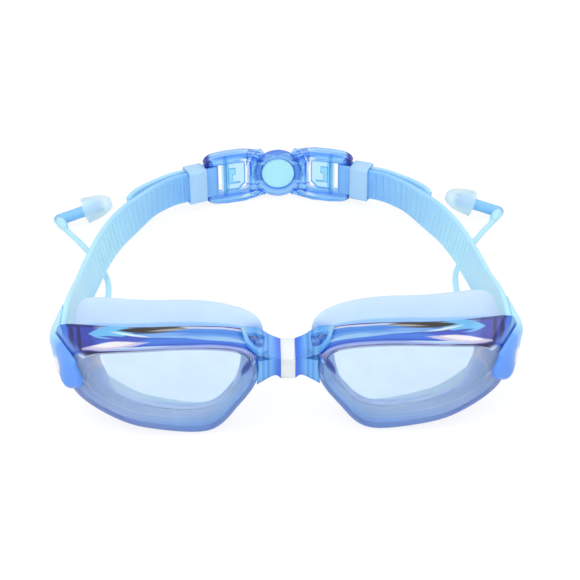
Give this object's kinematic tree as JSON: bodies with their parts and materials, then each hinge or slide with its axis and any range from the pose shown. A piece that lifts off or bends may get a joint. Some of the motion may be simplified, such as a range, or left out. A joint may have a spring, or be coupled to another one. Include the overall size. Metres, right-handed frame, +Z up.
{
  "type": "swim goggles",
  "caption": "Swim goggles with tinted cup lenses, soft gaskets, ribbed strap, quick-release clasp with strap locks and earplugs on tethers.",
  "frame": {"origin": "middle of the goggles in plan, on the table that they lie on, earplugs and tethers not counted", "axes": "+Z up from the table, -Y the way the lenses face, +X to the right as seen from the front"},
  "size_m": [0.1924, 0.1806, 0.0412],
  "materials": {
    "lens_blue": "clear tinted with a mirror coating",
    "silicone": "frosted translucent",
    "bridge": "clear soft plastic",
    "pad_blue": "satin",
    "inlay": "plain, no marking",
    "strap_blue": "translucent, ribbed on the head side",
    "clasp_blue": "clear tinted",
    "lever_blue": "clear tinted",
    "disc_cyan": "satin",
    "steel": "plain",
    "earplug": "translucent"
  },
  "bodies": {
    "goggles": {"lens_left": "lens_blue", "lens_right": "lens_blue", "gasket_left": "silicone", "gasket_right": "silicone", "nose_bridge": "bridge", "temple_clip_left": "pad_blue", "temple_clip_right": "pad_blue", "strap_stud_left": "pad_blue", "strap_stud_right": "pad_blue", "badge_left": "inlay", "badge_right": "inlay", "strap_left": "strap_blue", "strap_right": "strap_blue", "adjuster_left": "clasp_blue", "clasp_housing": "clasp_blue", "lever_pin_left": "clasp_blue", "cover_disc": "disc_cyan", "button_spring": "steel", "earplug_cap_left": "earplug", "earplug_cap_right": "earplug", "earplug_stem_left": "earplug", "earplug_stem_right": "earplug", "earplug_tether_left": "earplug", "earplug_tether_right": "earplug"},
    "button": {"release_button": "lever_blue"},
    "clasp_plug": {"adjuster_right": "clasp_blue", "lever_pin_right": "clasp_blue"},
    "lever_left": {"lock_lever_left": "lever_blue"},
    "lever_right": {"lock_lever_right": "lever_blue"},
    "keeper_left": {"strap_keeper_left": "silicone"},
    "keeper_right": {"strap_keeper_right": "silicone"}
  },
  "joints": [
    {"name": "button_press", "type": "slide", "parent": "goggles", "child": "button", "axis": [0, -1, 0], "range_m": [0, 0.0014], "stiffness_N_per_m": 400, "springref_m": -0.002, "deforming": ["button_spring"]},
    {"name": "clasp_release", "type": "slide", "parent": "goggles", "child": "clasp_plug", "axis": [1, 0, 0], "range_m": [0, 0.009], "deforming": ["strap_right"]},
    {"name": "lever_left_hinge", "type": "hinge", "parent": "goggles", "child": "lever_left", "pos_m": [-0.02285, 0.07929, 0.0115], "axis": [0, 0, 1], "range_deg": [0, 75]},
    {"name": "lever_right_hinge", "type": "hinge", "parent": "clasp_plug", "child": "lever_right", "pos_m": [0.02285, 0.07929, 0.0115], "axis": [0, 0, -1], "range_deg": [0, 75]},
    {"name": "keeper_left_slide", "type": "slide", "parent": "goggles", "child": "keeper_left", "axis": [-0.9135, -0.4067, 0], "range_m": [0, 0.004]},
    {"name": "keeper_right_slide", "type": "slide", "parent": "clasp_plug", "child": "keeper_right", "axis": [0.9135, -0.4067, 0], "range_m": [0, 0.004]}
  ]
}
